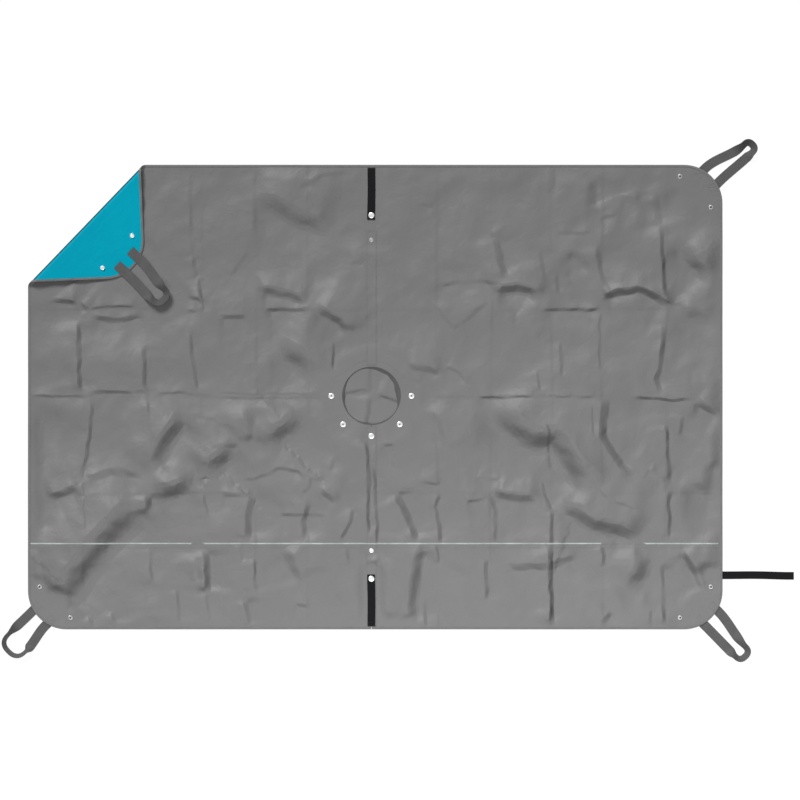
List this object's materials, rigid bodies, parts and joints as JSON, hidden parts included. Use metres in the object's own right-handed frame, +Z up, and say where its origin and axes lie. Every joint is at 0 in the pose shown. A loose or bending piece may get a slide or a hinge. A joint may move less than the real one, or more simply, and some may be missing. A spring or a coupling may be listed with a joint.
{
  "type": "repotting mat",
  "caption": "Cloth repotting mat laid out flat, one corner turned over, with a slit to a round trunk hole, a press-stud patch, corner handles, brace straps and a closing strap.",
  "frame": {"origin": "on the floor under the middle of the mat's 1.80 by 1.20 m sheet", "axes": "+X along the long sides to the side with the closing strap, +Y away from the slit's open end, +Z up from the floor"},
  "size_m": [2.051, 1.3485, 0.0277],
  "materials": {
    "grey_cloth": "laminated waterproof woven cloth, grey side, satin",
    "teal_cloth": "laminated waterproof woven cloth, teal side, satin",
    "hem_tape": "narrow woven binding tape, matt",
    "grey_webbing": "woven polypropylene webbing, matt",
    "black_strap": "woven polypropylene tape, matt",
    "nickel": "nickel-plated brass, polished"
  },
  "bodies": {
    "mat": {"main_panel": "grey_cloth", "corner_bend": "teal_cloth", "front_strip_left": "grey_cloth", "front_strip_right": "grey_cloth", "back_seam_tape": "grey_cloth", "slit_band": "grey_cloth", "hem_left": "hem_tape", "hem_back_right": "hem_tape", "handle_end_back_right_left": "grey_webbing", "handle_end_back_right_right": "grey_webbing", "closing_strap_end": "black_strap", "ring_socket_1": "nickel", "ring_socket_2": "nickel", "ring_socket_3": "nickel", "ring_socket_4": "nickel", "ring_socket_5": "nickel", "line_knob_back": "nickel", "line_knob_front": "nickel", "corner_snap_back_right_end": "nickel", "corner_snap_back_right_side": "nickel"},
    "corner": {"corner_flap": "teal_cloth", "hem_flap": "hem_tape", "handle_end_back_left_left": "grey_webbing", "handle_end_back_left_right": "grey_webbing", "corner_snap_back_left_end": "nickel", "corner_snap_back_left_side": "nickel"},
    "front_wall": {"front_wall_left": "grey_cloth", "front_wall_right": "grey_cloth", "slit_band_wall": "grey_cloth", "hem_wall_left": "hem_tape", "hem_wall_right": "hem_tape", "handle_end_front_left_left": "grey_webbing", "handle_end_front_left_right": "grey_webbing", "handle_end_front_right_left": "grey_webbing", "handle_end_front_right_right": "grey_webbing", "corner_snap_front_left_end": "nickel", "corner_snap_front_left_side": "nickel", "corner_snap_front_right_end": "nickel", "corner_snap_front_right_side": "nickel"},
    "patch": {"hole_patch": "grey_cloth", "ring_knob_1": "nickel", "ring_knob_2": "nickel", "ring_knob_3": "nickel", "ring_knob_4": "nickel", "ring_knob_5": "nickel"},
    "back_right_handle": {"handle_back_right": "grey_webbing"},
    "front_right_handle": {"handle_front_right": "grey_webbing"},
    "front_left_handle": {"handle_front_left": "grey_webbing"},
    "back_left_handle": {"handle_back_left": "grey_webbing"},
    "back_brace": {"brace_strap_back": "black_strap", "brace_snap_back": "nickel"},
    "front_brace": {"brace_strap_front": "black_strap", "brace_snap_front": "nickel"},
    "roll_strap": {"closing_strap": "black_strap"}
  },
  "joints": [
    {"name": "corner_fold", "type": "hinge", "parent": "mat", "child": "corner", "pos_m": [-0.75383, 0.44968, 0.01447], "axis": [0.6931, 0.7208, 0], "range_deg": [-180, 0], "deforming": ["corner_bend"]},
    {"name": "front_wall_fold", "type": "hinge", "parent": "mat", "child": "front_wall", "pos_m": [-0.01, -0.482, 0.0068], "axis": [-1, 0, 0], "range_deg": [0, 95]},
    {"name": "hole_patch_drop", "type": "hinge", "parent": "mat", "child": "patch", "pos_m": [-0.01, 0.095, 0.0018], "axis": [1, 0, 0], "range_deg": [0, 170]},
    {"name": "handle_back_right_lift", "type": "hinge", "parent": "mat", "child": "back_right_handle", "pos_m": [0.87283, 0.57483, 0.0047], "axis": [0.7071, -0.7071, 0], "range_deg": [0, 150]},
    {"name": "handle_front_right_lift", "type": "hinge", "parent": "front_wall", "child": "front_right_handle", "pos_m": [0.87283, -0.57483, 0.0056], "axis": [-0.7071, -0.7071, 0], "range_deg": [0, 120]},
    {"name": "handle_front_left_lift", "type": "hinge", "parent": "front_wall", "child": "front_left_handle", "pos_m": [-0.87283, -0.57483, 0.0056], "axis": [-0.7071, 0.7071, 0], "range_deg": [0, 120]},
    {"name": "handle_back_left_lift", "type": "hinge", "parent": "corner", "child": "back_left_handle", "pos_m": [-0.62382, 0.3354, 0.00917], "axis": [-0.6788, -0.7343, 0], "range_deg": [0, 150]},
    {"name": "brace_back_lift", "type": "hinge", "parent": "mat", "child": "back_brace", "pos_m": [-0.01, 0.594, 0.0059], "axis": [-1, 0, 0], "range_deg": [0, 150]},
    {"name": "brace_front_lift", "type": "hinge", "parent": "front_wall", "child": "front_brace", "pos_m": [-0.01, -0.594, 0.0077], "axis": [1, 0, 0], "range_deg": [0, 43]},
    {"name": "closing_strap_lift", "type": "hinge", "parent": "mat", "child": "roll_strap", "pos_m": [0.9003, -0.462, 0.0056], "axis": [0, -1, 0], "range_deg": [0, 170]}
  ],
  "couplings": [
    {"joint": "brace_front_lift", "follows": "front_wall_fold", "ratio": 0.45}
  ]
}
